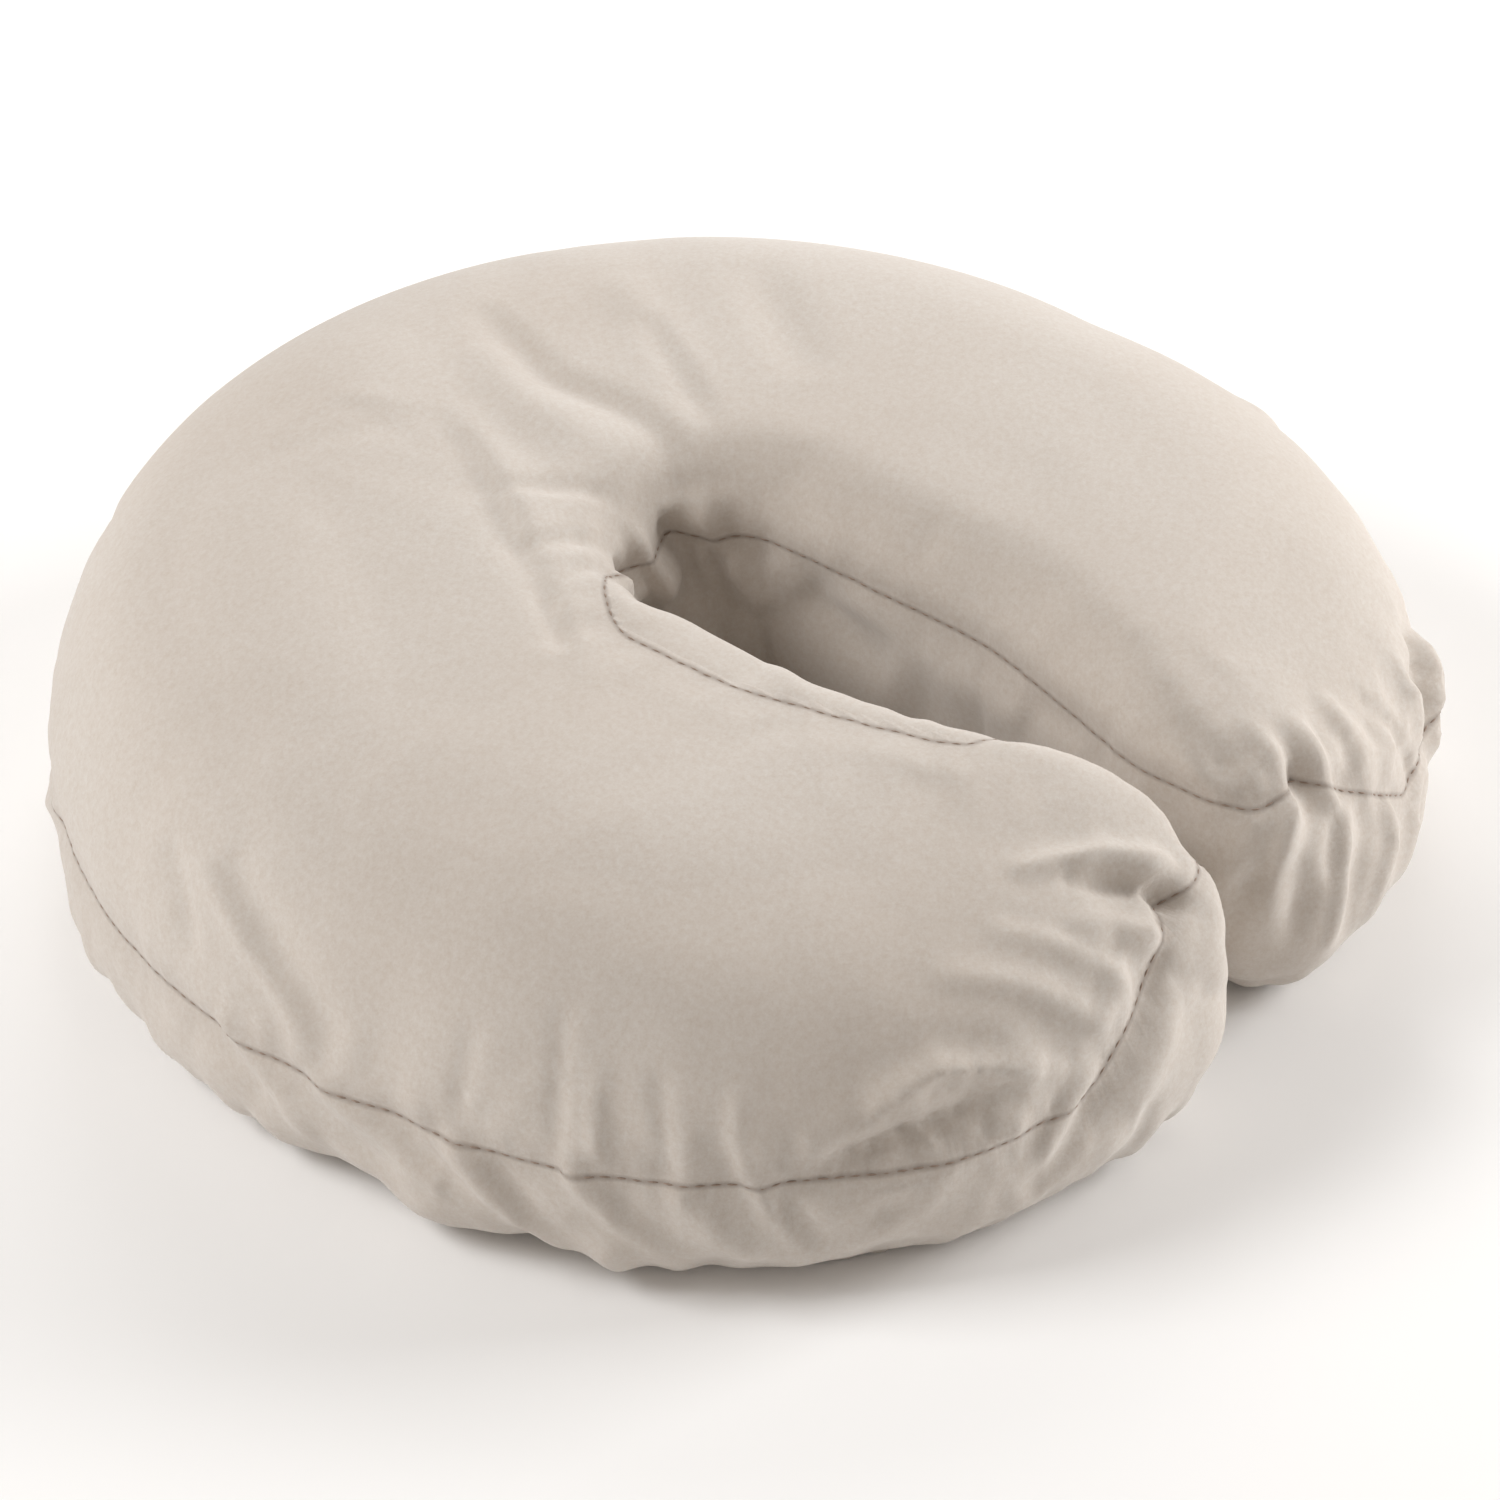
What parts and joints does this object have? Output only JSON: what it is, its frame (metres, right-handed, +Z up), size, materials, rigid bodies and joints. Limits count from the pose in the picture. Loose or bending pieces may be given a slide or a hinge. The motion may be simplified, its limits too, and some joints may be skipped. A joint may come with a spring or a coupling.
{
  "type": "face cradle cushion",
  "caption": "Crescent face cradle cushion with a breathing slot, foam core, zipped casing and a gathered fitted cloth cover with an elastic hem.",
  "frame": {"origin": "on the resting plane, under the middle of the overall box", "axes": "+Z up out of the face side, +Y towards the closed crown of the crescent, so the open arm ends are at -Y; +X towards the right arm seen from above with the crown away"},
  "size_m": [0.32, 0.309, 0.0979],
  "materials": {
    "cover_cloth": "matte",
    "elastic": "matte",
    "casing_vinyl": "satin",
    "support_foam": "matte",
    "comfort_foam": "matte",
    "loop_tape": "matte",
    "zip_tape": "matte",
    "zip_coil": "satin",
    "zip_metal": "satin"
  },
  "bodies": {
    "cushion": {"cover_top_panel": "cover_cloth", "cover_outer_band": "cover_cloth", "cover_inner_band": "cover_cloth", "cover_hem": "cover_cloth", "casing_top_panel": "casing_vinyl", "casing_outer_band": "casing_vinyl", "casing_inner_band": "casing_vinyl", "casing_bottom_panel": "casing_vinyl", "hem_elastic": "elastic", "support_foam": "support_foam", "comfort_foam": "comfort_foam", "loop_strip_crown": "loop_tape", "loop_strip_right": "loop_tape", "loop_strip_left": "loop_tape", "zip_tape_inner": "zip_tape", "zip_tape_outer": "zip_tape", "zip_end_tabs": "casing_vinyl", "zip_coil_inner": "zip_coil", "zip_coil_outer": "zip_coil", "zip_top_stops": "zip_metal", "zip_bottom_stop": "zip_metal"},
    "zip_slider": {"zip_slider": "zip_metal"},
    "zip_pull": {"zip_pull": "zip_metal"}
  },
  "joints": [
    {"name": "zip_travel", "type": "hinge", "parent": "cushion", "child": "zip_slider", "pos_m": [0, -0.0055, 0.006], "axis": [0, 0, 1], "range_deg": [0, 116]},
    {"name": "pull_swing", "type": "hinge", "parent": "zip_slider", "child": "zip_pull", "pos_m": [0.0914, 0.05206, 0.00235], "axis": [-0.8462, -0.5329, 0], "range_deg": [0, 170]}
  ]
}
